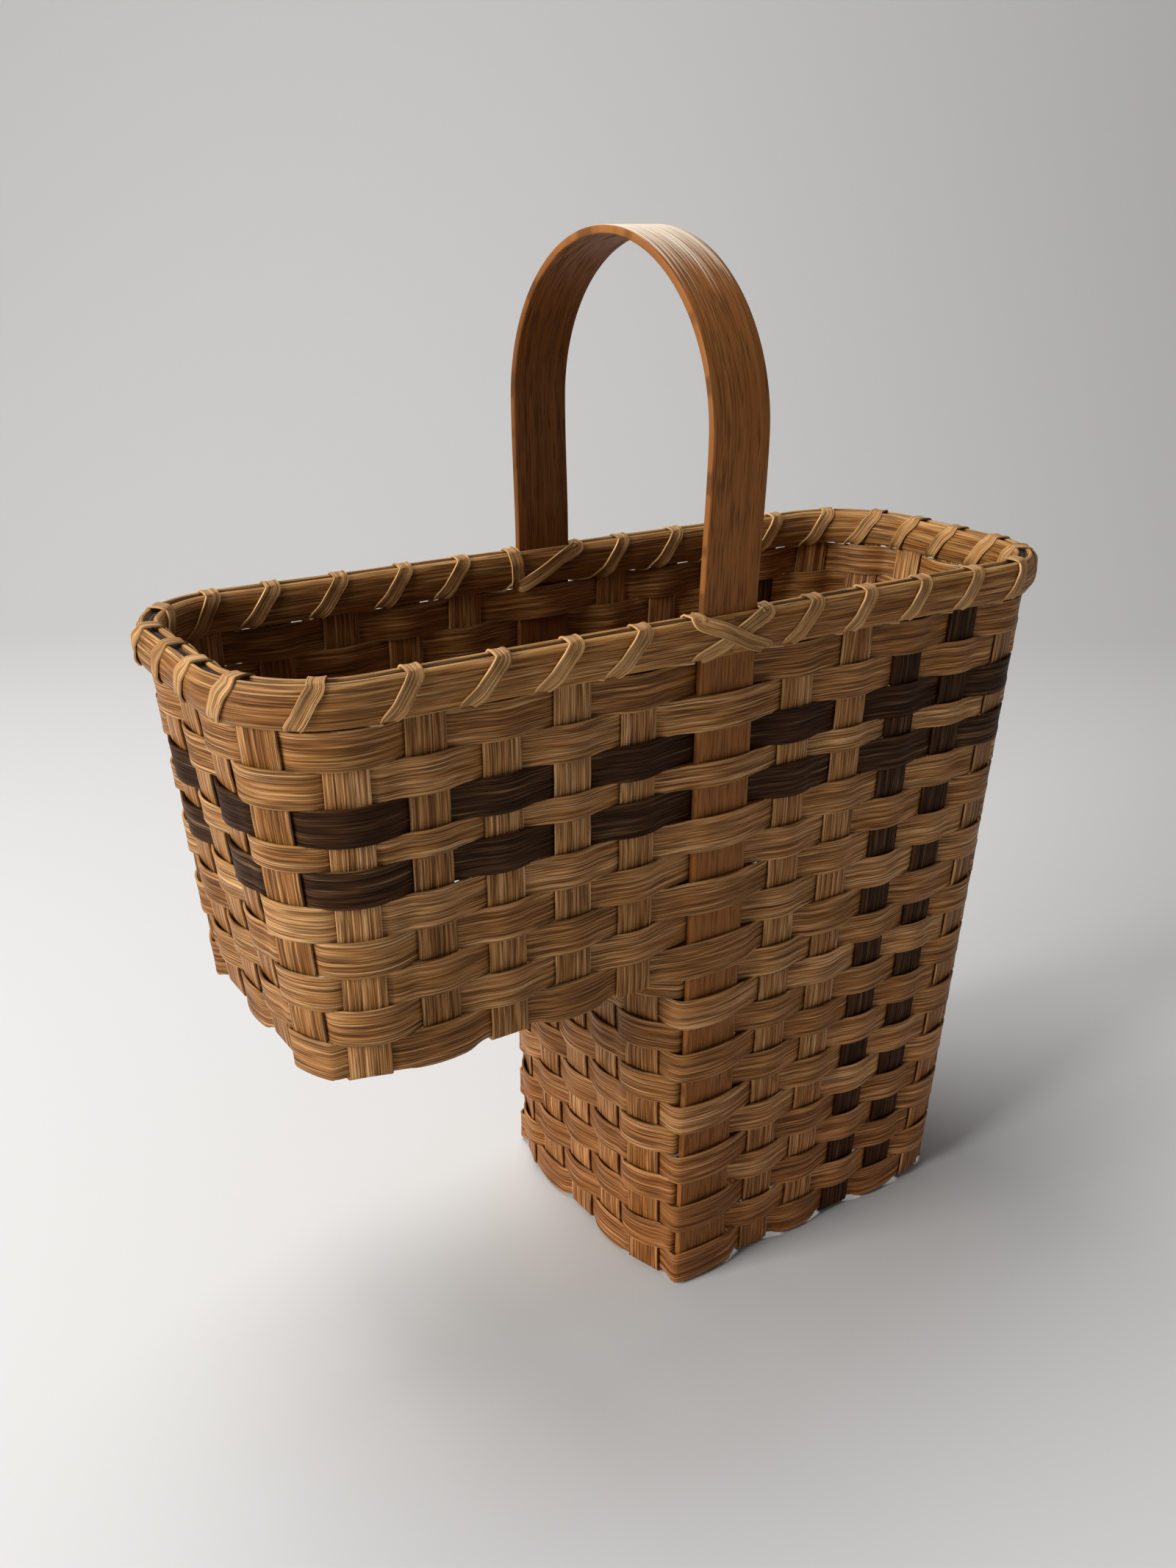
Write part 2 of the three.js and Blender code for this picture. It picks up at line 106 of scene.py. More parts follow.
# The outline of the walls at one height, anticlockwise from where the front leaves its left corner
def outlineAt(z, withTray):
    rise = z / basket["wallTop"]
    half = mix(basket["footHalfWidth"], basket["topHalfWidth"], rise)
    backX = mix(basket["footBackX"], basket["topBackX"], rise)
    backR = mix(basket["footCorner"], basket["topCorner"], rise)
    leftRise = z / basket["stepZ"]
    leftEnds = ("riserLowX", "riserTopX", "footCorner", "riserCorner")
    if withTray:
        leftRise = (z - basket["stepZ"]) / (basket["wallTop"] - basket["stepZ"])
        leftEnds = ("trayEndLowX", "trayEndTopX", "trayCorner", "topCorner")
    lowX, highX, lowR, highR = (basket[end] for end in leftEnds)
    leftX = mix(lowX, highX, leftRise)
    leftR = mix(lowR, highR, leftRise)
    straight = backX - backR - leftX - leftR
    turn = pi / 2
    # A line has its start and direction, an arc its middle, radius and first angle
    parts = [
        ("line", straight, (leftX + leftR, -half), (1, 0)),
        ("arc", backR * turn, (backX - backR, backR - half), (backR, -turn)),
        ("line", 2 * (half - backR), (backX, backR - half), (0, 1)),
        ("arc", backR * turn, (backX - backR, half - backR), (backR, 0)),
        ("line", straight, (backX - backR, half), (-1, 0)),
        ("arc", leftR * turn, (leftX + leftR, half - leftR), (leftR, turn)),
        ("line", 2 * (half - leftR), (leftX, half - leftR), (0, -1)),
        ("arc", leftR * turn, (leftX + leftR, leftR - half), (leftR, pi)),
    ]
    begins = []
    length = 0
    for part in parts:
        begins.append(length)
        length += part[1]
    return {"z": z, "half": half, "backX": backX, "backR": backR, "leftX": leftX, "leftR": leftR,
            "parts": parts, "begins": begins, "length": length}


backPart, rearPart, leftPart = 2, 4, 6  # the straight parts of an outline after the front


# The point at a distance along an outline, and its outward direction
def spotOn(loop, distance):
    s = distance % loop["length"]
    index = max(i for i, begin in enumerate(loop["begins"]) if begin <= s)
    kind, _, at, way = loop["parts"][index]
    along = s - loop["begins"][index]
    if kind == "line":
        point = Vector((at[0] + way[0] * along, at[1] + way[1] * along, loop["z"]))
        return point, Vector((way[1], -way[0], 0))
    angle = way[1] + along / way[0]
    out = Vector((cos(angle), sin(angle), 0))
    return Vector((at[0], at[1], loop["z"])) + out * way[0], out


# How far along the outline the front or rear face has a given x
def faceDistance(loop, x, rear):
    pastBack = max(x - (loop["backX"] - loop["backR"]), 0)
    pastLeft = max(loop["leftX"] + loop["leftR"] - x, 0)
    bent = loop["backR"] * asin(pastBack / loop["backR"]) - pastBack
    bentLeft = loop["leftR"] * asin(pastLeft / loop["leftR"]) - pastLeft
    run = x - (loop["leftX"] + loop["leftR"]) + bent - bentLeft
    return loop["begins"][rearPart] + loop["parts"][rearPart][1] - run if rear else run


# How far along the outline an end wall has a given y
def endDistance(loop, y, left):
    radius = loop["leftR"] if left else loop["backR"]
    past = max(abs(y) - (loop["half"] - radius), 0)
    run = (abs(y) + radius * asin(past / radius) - past) * (1 if y > 0 else -1)
    part = leftPart if left else backPart
    return loop["begins"][part] + loop["parts"][part][1] / 2 + (-run if left else run)


# The uprights: where they stand, how they sway with the rows and how they fold at the bases
stakes = {
    "width": 19,
    "thick": 1.3,
    "edge": 0.3,
    "across": 4,
    "longCount": 5,
    "longSpacing": 29.5,
    "trayCount": 5,
    "legCount": 5,
    "dyedLeg": (2, 3),
    "riserGap": 6.5,
    "handleGapLow": 12.6,
    "handleGapTop": 20,
    "trayInsetLow": 21,
    "trayInsetTop": 36,
    "backInsetLow": 23,
    "backInsetTop": 34,
    "sway": 0.3,
    "rowReach": 8,
    "foldReach": 1.7,
    "foldSteps": 5,
    "riserDrop": 1,
    "baseLift": 1.5,
    "humpHeight": 1.6,
    "humpSpread": 3.5,
    "baseStep": 3,
    "crossBaseSteps": 24,
    "crossSteps": 60,
    "endSteps": 50,
    "backSteps": 80,
    "toneDrift": 0.6,
    "toneSize": 150,
    "grainStep": (1.91, 0.043),
    "seeds": {"long": 60, "tray": 70, "leg": 80, "handle": 90},
}
handle = {
    "width": 31.8,
    "thick": 4,
    "edge": 0.9,
    "edgeSteps": 3,
    "across": 6,
    "foot": 1,
    "archRadius": 83.5,
    "archAboveRim": 79,
    "archSteps": 72,
    "legSteps": 30,
    # A painted highlight, lighter towards the top of the bend, and how far from the top it reaches
    "paintedTopHighlight": 0.1,
    "paintedTopHighlightReach": 150,
    "rearDarker": 0.24,
    "rearSharp": 12,
    "toneDrift": 0.05,
    "toneSize": 120,
    "toneSeed": 5,
    "grainPlace": (3.3, 2.0),
}


def longY(i):
    return (i - (stakes["longCount"] - 1) / 2) * stakes["longSpacing"]


def trayStakeX(i, z):
    first = basket["riserTopX"] - stakes["riserGap"] - stakes["width"] / 2
    rise = (z - basket["stepZ"]) / (basket["wallTop"] - basket["stepZ"])
    inset = mix(stakes["trayInsetLow"], stakes["trayInsetTop"], rise)
    return mix(first, outlineAt(z, True)["leftX"] + inset, i / (stakes["trayCount"] - 1))


def legStakeX(i, z):
    rise = z / basket["wallTop"]
    gap = mix(stakes["handleGapLow"], stakes["handleGapTop"], rise)
    first = handle["width"] / 2 + gap + stakes["width"] / 2
    last = outlineAt(z, False)["backX"] - mix(stakes["backInsetLow"], stakes["backInsetTop"], rise)
    return mix(first, last, i / (stakes["legCount"] - 1))


# Each of these gives a function from a height to a point on the wall and its outward direction
def onFace(xAt, rear, withTray):
    def spot(z):
        loop = outlineAt(z, withTray)
        return spotOn(loop, faceDistance(loop, xAt(z), rear))
    return spot


def onEnd(y, left, withTray):
    def spot(z):
        loop = outlineAt(z, withTray)
        return spotOn(loop, endDistance(loop, y, left))
    return spot


def onHandle(rear):
    side = 1 if rear else -1
    return lambda z: (Vector((0, side * outlineAt(z, True)["half"], z)), Vector((0, side, 0)))


# The uprights that a row meets, anticlockwise from the front left
def crossings(withTray):
    def stake(xAt, i, rear):
        return {"spot": onFace(xAt, rear, withTray), "odd": i % 2 == 1, "x": xAt, "rear": rear}

    def face(rear):
        found = []
        if withTray:
            found += [stake(partial(trayStakeX, i), i, rear) for i in reversed(range(stakes["trayCount"]))]
        found.append({"spot": onHandle(rear), "odd": True, "handle": True, "x": lambda z: 0, "rear": rear})
        found += [stake(partial(legStakeX, i), i, rear) for i in range(stakes["legCount"])]
        return found[::-1] if rear else found

    def end(left):
        found = []
        for i in range(stakes["longCount"]):
            y = longY(i)
            odd = (i % 2 == 0) != (left and not withTray)
            found.append({"spot": onEnd(y, left, withTray), "odd": odd, "y": y, "left": left})
        return found[::-1] if left else found

    return face(False) + end(False) + face(True) + end(True)


# Odd uprights lie outside the odd rows and inside the even ones
def liesOutside(odd, row):
    return odd == (row % 2 == 1)


# A grid for a strip's surface with its UV map and attributes, and each vertex's column and row
def splintGrid(columns, across):
    bm = bmesh.new()
    layers = {
        "uv": bm.loops.layers.uv.new("splint"),
        "tone": bm.verts.layers.float.new("tone"),
        "across": bm.verts.layers.float.new("across"),
    }
    bmesh.ops.create_grid(bm, x_segments=columns, y_segments=across, size=0.5)
    places = {}
    for vert in bm.verts:
        places[vert] = (round((vert.co.x + 0.5) * columns), round((vert.co.y + 0.5) * across))
    return bm, layers, places


# The grain's place on every corner, from its column and row
def spreadGrain(bm, layers, places, shift, uvAt):
    for face in bm.faces:
        for loop in face.loops:
            u, v = uvAt(*places[loop.vert])
            loop[layers["uv"]].uv = (u * mm + shift[0], v * mm + shift[1])
        face.smooth = True


def keptMesh(bm, name):
    bmesh.ops.recalc_face_normals(bm, faces=bm.faces)
    mesh = bpy.data.meshes.new(name)
    bm.to_mesh(mesh)
    bm.free()
    return mesh


# A strip is a grid whose columns follow the strip and whose rows lie across it. The stations hold
# its middle, half its width as a vector, its direction and the distance from the start.
def stripMesh(name, across, stations, closed, uvShift, tone, cup=0):
    count = len(stations)
    total = stations[-1][3]
    if closed:
        total += (stations[0][0] - stations[-1][0]).length
    bm, layers, places = splintGrid(count if closed else count - 1, across)
    for vert, (i, j) in places.items():
        middle, wide, along, distance = stations[i % count]
        v = 2 * j / across - 1
        lift = along.cross(wide).normalized() * (cup * (1 - v * v))
        vert.co = (middle + wide * v + lift) * mm
        vert[layers["across"]] = v
        vert[layers["tone"]] = tone(distance)

    def uvAt(i, j):
        _, wide, _, distance = stations[i % count]
        return total if closed and i == count else distance, (2 * j / across - 1) * wide.length

    spreadGrain(bm, layers, places, uvShift, uvAt)
    if closed:
        bmesh.ops.remove_doubles(bm, verts=bm.verts, dist=1e-6)
    return keptMesh(bm, name)


# The direction of a path at each of its points, and the distance from its start
def courseOf(path, closed=False):
    last = len(path) - 1
    distance = 0
    course = []
    for i, point in enumerate(path):
        if i:
            distance += (point - path[i - 1]).length
        before = path[i - 1] if closed or i else point
        after = path[(i + 1) % len(path)] if closed or i < last else point
        course.append(((after - before).normalized(), distance))
    return course


# Stations from points and half widths
def measured(points, closed=False):
    course = courseOf([point for point, _ in points], closed)
    return [(point, wide, along, distance) for (point, wide), (along, distance) in zip(points, course)]


# Between two points, with the speeds at which the curve leaves one and arrives at the other
def curveBetween(start, leave, end, arrive, t):
    fromStart = 2 * t ** 3 - 3 * t ** 2 + 1
    leaving = t ** 3 - 2 * t ** 2 + t
    toEnd = -2 * t ** 3 + 3 * t ** 2
    arriving = t ** 3 - t ** 2
    return start * fromStart + leave * leaving + end * toEnd + arrive * arriving


# Shader maths written as Python expressions
class Wire:
    def __init__(self, tree, socket):
        self.tree = tree
        self.socket = socket

    def maths(self, operation, *values):
        node = self.tree.nodes.new("ShaderNodeMath")
        node.operation = operation
        for socket, value in zip(node.inputs, values):
            if isinstance(value, Wire):
                self.tree.links.new(value.socket, socket)
            else:
                socket.default_value = value
        return Wire(self.tree, node.outputs[0])

    def __add__(self, other):
        return self.maths("ADD", self, other)

    __radd__ = __add__

    def __sub__(self, other):
        return self.maths("SUBTRACT", self, other)

    def __rsub__(self, other):
        return self.maths("SUBTRACT", other, self)

    def __mul__(self, other):
        return self.maths("MULTIPLY", self, other)

    __rmul__ = __mul__

    def __pow__(self, other):
        return self.maths("POWER", self, other)

    def __abs__(self):
        return self.maths("ABSOLUTE", self)

    def clipped(self):
        return self.maths("MAXIMUM", self.maths("MINIMUM", self, 1.0), 0.0)


# A material under construction
class Finish:
    def __init__(self, name):
        self.material = bpy.data.materials.new(name)
        self.material.use_nodes = True
        self.tree = self.material.node_tree
        self.shader = self.tree.nodes["Principled BSDF"]

    def node(self, kind, settings=None, values=None, output=0):
        node = self.tree.nodes.new(kind)
        for key, value in (settings or {}).items():
            if key == "stops":
                elements = node.color_ramp.elements
                while len(elements) < len(value):
                    elements.new(0.5)
                for element, (position, color) in zip(elements, value):
                    element.position = position
                    element.color = (*color, 1)
            else:
                setattr(node, key, value)
        for key, value in (values or {}).items():
            if isinstance(value, Wire):
                self.tree.links.new(value.socket, node.inputs[key])
            else:
                node.inputs[key].default_value = value
        return Wire(self.tree, node.outputs[output])

    def connect(self, name, wire):
        self.tree.links.new(wire.socket, self.shader.inputs[name])

    # Noise stretched along the strip: its scale is cycles per metre along and across
    def grain(self, uv, scale, detail, roughness, distortion=0):
        at = self.node("ShaderNodeMapping", {}, {"Vector": uv, "Scale": (*scale, 1)})
        values = {"Vector": at, "Scale": 1, "Detail": detail, "Roughness": roughness}
        values["Distortion"] = distortion
        return self.node("ShaderNodeTexNoise", {"noise_dimensions": "2D"}, values)

    def heightIn(self, vector):
        return self.node("ShaderNodeSeparateXYZ", {}, {"Vector": vector}, output="Z")

    # A Mix node has its factor first, and its two colours and their result in these places
    def blend(self, share, first, second, kind="MIX"):
        node = self.tree.nodes.new("ShaderNodeMix")
        node.data_type = "RGBA"
        node.blend_type = kind
        for index, value in ((0, share), (6, first), (7, second)):
            if isinstance(value, Wire):
                self.tree.links.new(value.socket, node.inputs[index])
            elif index:
                node.inputs[index].default_value = (*value, 1)
            else:
                node.inputs[index].default_value = value
        return Wire(self.tree, node.outputs[2])


# A colour from its screen values, 0 to 255
def rgb(*screen):
    return tuple(((c / 255 + 0.055) / 1.055) ** 2.4 if c > 10 else c / 255 / 12.92 for c in screen)


# The stops of a colour ramp: a position and a screen colour each
def ramp(*stops):
    return [(position, rgb(*screen)) for position, *screen in stops]


# Split wood: streaks and fine fibres that follow the strip, short dark pores and pale edges
def splintFinish(name, look):
    finish = Finish(name)
    uv = finish.node("ShaderNodeUVMap", {"uv_map": "splint"})
    tone = finish.node("ShaderNodeAttribute", {"attribute_name": "tone"}, output="Fac")
    across = finish.node("ShaderNodeAttribute", {"attribute_name": "across"}, output="Fac")
    streaks = finish.grain(uv, look["streaks"], detail=3, roughness=0.62, distortion=0.1)
    fibres = finish.grain(uv, look["fibres"], detail=2, roughness=0.6)
    pores = finish.grain(uv, look["pores"], detail=1, roughness=0.5)
    patches = finish.grain(uv, look["patches"], detail=2, roughness=0.5)
    pale = streaks * 0.5 + fibres * 0.5
    drift = patches - 0.5
    value = (pale - 0.5) * look["contrast"] + 0.5 + drift * look["mottle"] + tone * look["toneShift"]
    color = finish.node("ShaderNodeValToRGB", {"stops": look["stops"]}, {"Fac": value})
    edge = abs(across) ** look["edgeSharp"]
    color = finish.blend((edge * look["edgePale"]).clipped(), color, look["edgeColor"])
    pits = ((pores + drift * look["poreDrift"] - look["poreFrom"]) * look["poreSharp"]).clipped()
    color = finish.blend(pits * look["poreDark"], color, look["poreColor"])
    z = finish.heightIn(finish.node("ShaderNodeTexCoord", output="Object"))
    low = (1 - z * (1 / look["lowHeight"])).clipped()
    color = finish.blend(low * look["lowShare"], color, look["lowColor"], "MULTIPLY")
    if "paintedHighlightFrom" in look:  # painted highlight: paler where the surface faces up, at the top of the bend, where the light from above falls
        up = finish.heightIn(finish.node("ShaderNodeNewGeometry", output="Normal"))
        ragged = (fibres - 0.5) * look["paintedHighlightRagged"]
        paintedHighlight = ((up + ragged - look["paintedHighlightFrom"]) * look["paintedHighlightSharp"]).clipped()
        color = finish.blend(paintedHighlight * look["paintedHighlightShare"], color, look["paintedHighlightColor"])
    finish.connect("Base Color", color)
    roughness = look["roughness"] - (pale - 0.5) * look["paleGloss"] + pits * look["poreRough"]
    finish.connect("Roughness", roughness)
    finish.shader.inputs["Specular IOR Level"].default_value = look["sheen"]
    height = streaks * look["grainDepth"] + fibres * look["grainDepth"] - pits * look["poreDepth"]
    values = {"Height": height, "Strength": look["bump"], "Distance": look["bumpHeight"]}
    finish.connect("Normal", finish.node("ShaderNodeBump", {}, values))
    return finish.material


honeyLook = {
    "streaks": (9, 520),
    "fibres": (30, 1500),
    "pores": (30, 1300),
    "patches": (10, 70),
    "contrast": 1.95,
    "mottle": 0.28,
    "toneShift": 0.16,
    "stops": ramp((0, 60, 31, 4), (0.3, 110, 66, 25), (0.52, 148, 99, 49), (1, 214, 171, 122)),
    "edgePale": 0.3,
    "edgeSharp": 9,
    "edgeColor": rgb(200, 158, 104),
    "poreFrom": 0.54,
    "poreSharp": 11,
    "poreDrift": 0.3,
    "poreDark": 0.6,
    "poreColor": rgb(52, 26, 5),
    "poreRough": 0.2,
    "lowShare": 0.45,
    "lowHeight": 0.19,
    "lowColor": rgb(255, 214, 190),
    "roughness": 0.46,
    "paleGloss": 0.35,
    "sheen": 0.15,
    "bump": 0.8,
    "bumpHeight": 0.0005,
    "grainDepth": 0.6,
    "poreDepth": 0.5,
}
dyedLook = {
    **honeyLook,
    "contrast": 2.4,
    "mottle": 0.3,
    "stops": ramp((0, 24, 11, 3), (0.5, 54, 31, 14), (0.8, 80, 57, 34), (1, 118, 94, 64)),
    "edgePale": 0.12,
    "edgeColor": rgb(83, 48, 25),
    "poreColor": rgb(14, 5, 2),
    "roughness": 0.5,
    "sheen": 0.06,
}
rimLook = {
    **honeyLook,
    "contrast": 1.8,
    "stops": ramp((0, 60, 31, 4), (0.3, 112, 68, 27), (0.54, 146, 98, 48), (1, 214, 172, 120)),
    "edgePale": 0.55,
    "edgeColor": rgb(192, 148, 90),
    "lowShare": 0.0,
}
lashLook = {
    **honeyLook,
    "streaks": (10, 600),
    "fibres": (40, 1500),
    "contrast": 1.3,
    "stops": ramp((0, 92, 56, 22), (0.35, 150, 106, 58), (0.62, 182, 138, 88), (1, 232, 198, 150)),
    "edgePale": 0.25,
    "edgeColor": rgb(215, 179, 130),
    "poreDark": 0.5,
    "lowShare": 0.0,
    "bump": 1.0,
}
fillerLook = {
    **dyedLook,
    "streaks": (12, 900),
    "stops": ramp((0, 24, 16, 11), (0.5, 54, 42, 34), (0.8, 92, 78, 66), (1, 150, 136, 120)),
}
oakLook = {
    **honeyLook,
    "streaks": (3, 300),
    "fibres": (16, 900),
    "pores": (55, 1200),
    "patches": (5, 50),
    "contrast": 0.7,
    "mottle": 0.1,
    "toneShift": 1.0,
    "stops": ramp((0, 72, 38, 8), (0.4, 122, 73, 31), (0.75, 150, 97, 50), (1, 196, 150, 98)),
    "edgePale": 0.0,
    "poreSharp": 9,
    "poreDark": 0.5,
    "poreColor": rgb(50, 24, 8),
    "lowShare": 0.0,
    "roughness": 0.48,
    "sheen": 0.12,
    "bump": 0.4,
    # A painted highlight: paler where the oak faces up at the top of the bend, ragged along the grain
    "paintedHighlightFrom": 0.77,
    "paintedHighlightRagged": 0.5,
    "paintedHighlightSharp": 4,
    "paintedHighlightShare": 0.85,
    "paintedHighlightColor": rgb(240, 226, 204),
}
# The finish of each material slot
finishes = {
    "honey_splint": splintFinish("honeySplint", honeyLook),
    "dyed_splint": splintFinish("dyedSplint", dyedLook),
    "rim_reed": splintFinish("rimReed", rimLook),
    "lashing_splint": splintFinish("lashSplint", lashLook),
    "rim_filler": splintFinish("fillerReed", fillerLook),
    "handle_oak": splintFinish("bentOak", oakLook),
}
print("finishes made")

sharpCorner = 50  # degrees, past which an edge is rounded


def addPiece(name, mesh, nodes, slotName, thick=None, edge=None, edgeSteps=2):
    piece = bpy.data.objects.new(name, mesh)
    bpy.context.scene.collection.objects.link(piece)
    mesh.materials.append(finishes[slotName])
    if thick:
        wall = piece.modifiers.new("thickness", "SOLIDIFY")
        wall.thickness = thick * mm
        wall.offset = 0
    if edge:
        soft = piece.modifiers.new("softEdge", "BEVEL")
        soft.width = edge * mm
        soft.segments = edgeSteps
        soft.limit_method = "ANGLE"
        soft.angle_limit = radians(sharpCorner)
        soft.harden_normals = False
    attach(piece, "root")
    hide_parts(*nodes)


# The woven rows: bands that bow out over one stake and tuck in behind the next. They lap where one
# stands out over the other, and the leg's first row dips under the tray's base at the riser.
weaver = {
    "thick": 1.2,
    "edge": 0.3,
    "across": 5,
    "cup": 0.25,
    "edgeOffset": 1.5,
    "handleOffset": 2.9,
    "bow": 1.8,
    "handleBow": 1.25,
    "lastBow": 0.5,
    "flat": 0.5,
    "lap": 0.55,
    "gap": 0.35,
    "gapMiddle": 0.55,
    "gapDrift": 0.45,
    "gapSize": 45,
    "gapSeed": 40,
    "drift": 0.3,
    "driftSize": 70,
    "bottomDrop": 2.0,
    "riserReach": 12,
    "riserRamp": 6,
    "riserDip": 2.6,
    "stepsOnStake": 7,
    "stepsBetween": 6,
    "toneDrift": 0.8,
    "toneSize": 160,
    "toneSeed": 3,
    "grainStep": (1.37, 0.031),
}


# What a row does at one upright: where it passes, on which side, and how far and steeply it bows
def passing(crossing, z, row):
    point, out = crossing["spot"](z)
    isHandle = "handle" in crossing
    side = -1 if liesOutside(crossing["odd"], row) else 1
    half = (handle["width"] if isHandle else stakes["width"]) / 2 + weaver["flat"]
    bow = weaver["bow"] * (weaver["handleBow"] if isHandle else 1)
    if row in lastRows:
        bow *= weaver["lastBow"]
    return {"point": point, "along": Vector((-out.y, out.x, 0)), "side": side, "face": out * side,
            "half": half, "offset": weaver["handleOffset"] if isHandle else weaver["edgeOffset"],
            "bow": bow, "slope": 2 * bow / half}


# Points along a row at one height, and the same number of them at every height. A row starts
# behind the first upright that covers it.
def rowPath(z, row, ring):
    passings = [passing(crossing, z, row) for crossing in ring]
    path = []
    for here, after in zip(passings, passings[1:] + passings[:1]):
        for i in range(weaver["stepsOnStake"]):
            share = 2 * i / (weaver["stepsOnStake"] - 1) - 1
            away = here["offset"] + here["bow"] * (1 - share * share)
            spot = here["point"] + here["along"] * (share * here["half"]) + here["face"] * away
            path.append((spot, here["side"]))
        start = path[-1][0]
        end = after["point"] - after["along"] * after["half"] + after["face"] * after["offset"]
        reach = (end - start).length
        leave = (here["along"] - here["face"] * here["slope"]) * reach
        arrive = (after["along"] + after["face"] * after["slope"]) * reach
        for i in range(1, weaver["stepsBetween"]):
            t = i / weaver["stepsBetween"]
            path.append((curveBetween(start, leave, end, arrive, t), here["side"] * (1 - 2 * t)))
    first = 0 if liesOutside(ring[0]["odd"], row) else 1
    perCrossing = weaver["stepsOnStake"] + weaver["stepsBetween"] - 1
    begin = first * perCrossing + weaver["stepsOnStake"] // 2
    return path[begin:] + path[:begin]


def weaveRow(row, low, high):
    ring = crossings(row <= rows["tray"])
    lowPath = rowPath(low, row, ring)
    highPath = rowPath(high, row, ring)
    points = []
    reach = 0
    for i, ((bottom, outness), (top, _)) in enumerate(zip(lowPath, highPath)):
        if i:
            reach += (bottom - lowPath[i - 1][0]).length
        shift = Vector((0, 0, wobble(reach, row, weaver["driftSize"]) * weaver["drift"]))
        loose = wobble(reach, row + weaver["gapSeed"], weaver["gapSize"])
        gap = weaver["gap"] * (weaver["gapMiddle"] + weaver["gapDrift"] * loose)
        if row in lastRows:
            bottom = bottom - Vector((0, 0, weaver["bottomDrop"] * clamped(outness + 0.5)))
        if row == rows["tray"] + 1:
            fromRiser = basket["riserTopX"] + weaver["riserReach"] - bottom.x
            top = top - Vector((0, 0, weaver["riserDip"] * clamped(fromRiser / weaver["riserRamp"])))
        tall = top - bottom
        share = (gap / 2 - abs(outness) * weaver["lap"]) / tall.length
        first = bottom + tall * share + shift
        last = top - tall * share + shift
        points.append(((first + last) / 2, (last - first) / 2))
    name = "weaverRow%02d" % row
    tone = driftTone(row + weaver["toneSeed"], weaver["toneSize"], weaver["toneDrift"], ownTone(row, 9))
    uvShift = tuple(row * step for step in weaver["grainStep"])
    mesh = stripMesh(name, weaver["across"], measured(points, True), True, uvShift, tone, -weaver["cup"])
    slotName = "dyed_splint" if row in rows["dyed"] else "honey_splint"
    addPiece(name, mesh, ["weaver_row_%02d" % row], slotName, weaver["thick"], weaver["edge"])


rowSpans = {}
height = basket["weaveBottom"]
for row in range(rows["tray"] + rows["leg"], 0, -1):
    pitch = rows["legPitch"] if row > rows["tray"] else rows["trayPitch"]
    if row == rows["narrowRow"]:
        pitch = rows["narrowPitch"]
    rowSpans[row] = (height, height + pitch)
    weaveRow(row, height, height + pitch)
    height += pitch
print("rows woven")


# The stakes: flat strips that run up the walls, where the rows push them in and out a little
def wallPoints(spot, fromZ, toZ, odd, steps):
    points = []
    way = 1 if toZ > fromZ else -1
    for i in range(steps + 1):
        z = mix(fromZ, toZ, i / steps)
        point, out = spot(z)
        lean = 0
        for row, (low, high) in rowSpans.items():
            if low - stakes["rowReach"] <= z <= high + stakes["rowReach"]:
                near = max(0, 1 - abs(z - (low + high) / 2) / (high - low))
                lean += near if liesOutside(odd, row) else -near
        wide = Vector((0, 0, way)).cross(out) * (stakes["width"] / 2)
        points.append((point + out * (lean * stakes["sway"]), wide))
    return points


# A quarter turn between the ends of two straight runs
def foldPoints(before, after):
    start, startWide = before[-1]
    end, endWide = after[0]
    reach = (end - start).length
    leave = (start - before[-2][0]).normalized() * reach
    arrive = (after[1][0] - end).normalized() * reach
    points = []
    for i in range(1, stakes["foldSteps"]):
        t = i / stakes["foldSteps"]
        wide = startWide.lerp(endWide, t).normalized() * (stakes["width"] / 2)
        points.append((curveBetween(start, leave, end, arrive, t), wide))
    return points


# A stretch along X that passes over and under the cross stakes
def basePoints(y, mid, xFrom, xTo, bumps):
    count = max(2, round(abs(xTo - xFrom) / stakes["baseStep"]))
    spread = stakes["width"] / 2 + stakes["humpSpread"]
    wide = Vector((0, stakes["width"] / 2, 0))
    points = []
    for i in range(count + 1):
        x = mix(xFrom, xTo, i / count)
        lift = 0
        for place, above in bumps:
            hump = eased(clamped(stakes["humpHeight"] - abs(x - place) / spread))
            lift += hump if above else -hump
        points.append((Vector((x, y, mid + stakes["baseLift"] * clamped(lift, -1, 1))), wide))
    return points


# A straight stretch across a base, from front to rear
def crossPoints(x, mid, yFrom, yTo, wide):
    steps = stakes["crossBaseSteps"]
    return [(Vector((x, mix(yFrom, yTo, i / steps), mid)), wide) for i in range(steps + 1)]


def layStake(name, node, runs, slotName, seed):
    points = list(runs[0])
    for run in runs[1:]:
        points += foldPoints(points, run)
        points += run
    tone = driftTone(seed, stakes["toneSize"], stakes["toneDrift"], ownTone(seed, 4))
    alongStep, acrossStep = stakes["grainStep"]
    uvShift = (seed * alongStep, 1 + seed * acrossStep)
    mesh = stripMesh(name, stakes["across"], measured(points), False, uvShift, tone)
    addPiece(name, mesh, [node], slotName, stakes["thick"], stakes["edge"])


# A stake that runs down the front wall, across a base and up the rear wall
def crossStake(kind, i, xAt, mid, slotName):
    top = basket["stakeTop"]
    fold = stakes["foldReach"]
    odd = i % 2 == 1
    front = wallPoints(onFace(xAt, False, True), top, mid + fold, odd, stakes["crossSteps"])
    rear = wallPoints(onFace(xAt, True, True), mid + fold, top, odd, stakes["crossSteps"])
    lean = abs(front[-1][1].y)
    wide = Vector((-stakes["width"] / 2, 0, 0))
    base = crossPoints(xAt(mid), mid, front[-1][0].y + fold + lean, rear[0][0].y - fold - lean, wide)
    layStake("%sStake%d" % (kind, i + 1), "%s_stake_%d" % (kind, i + 1), [front, base, rear],
             slotName, stakes["seeds"][kind] + i)


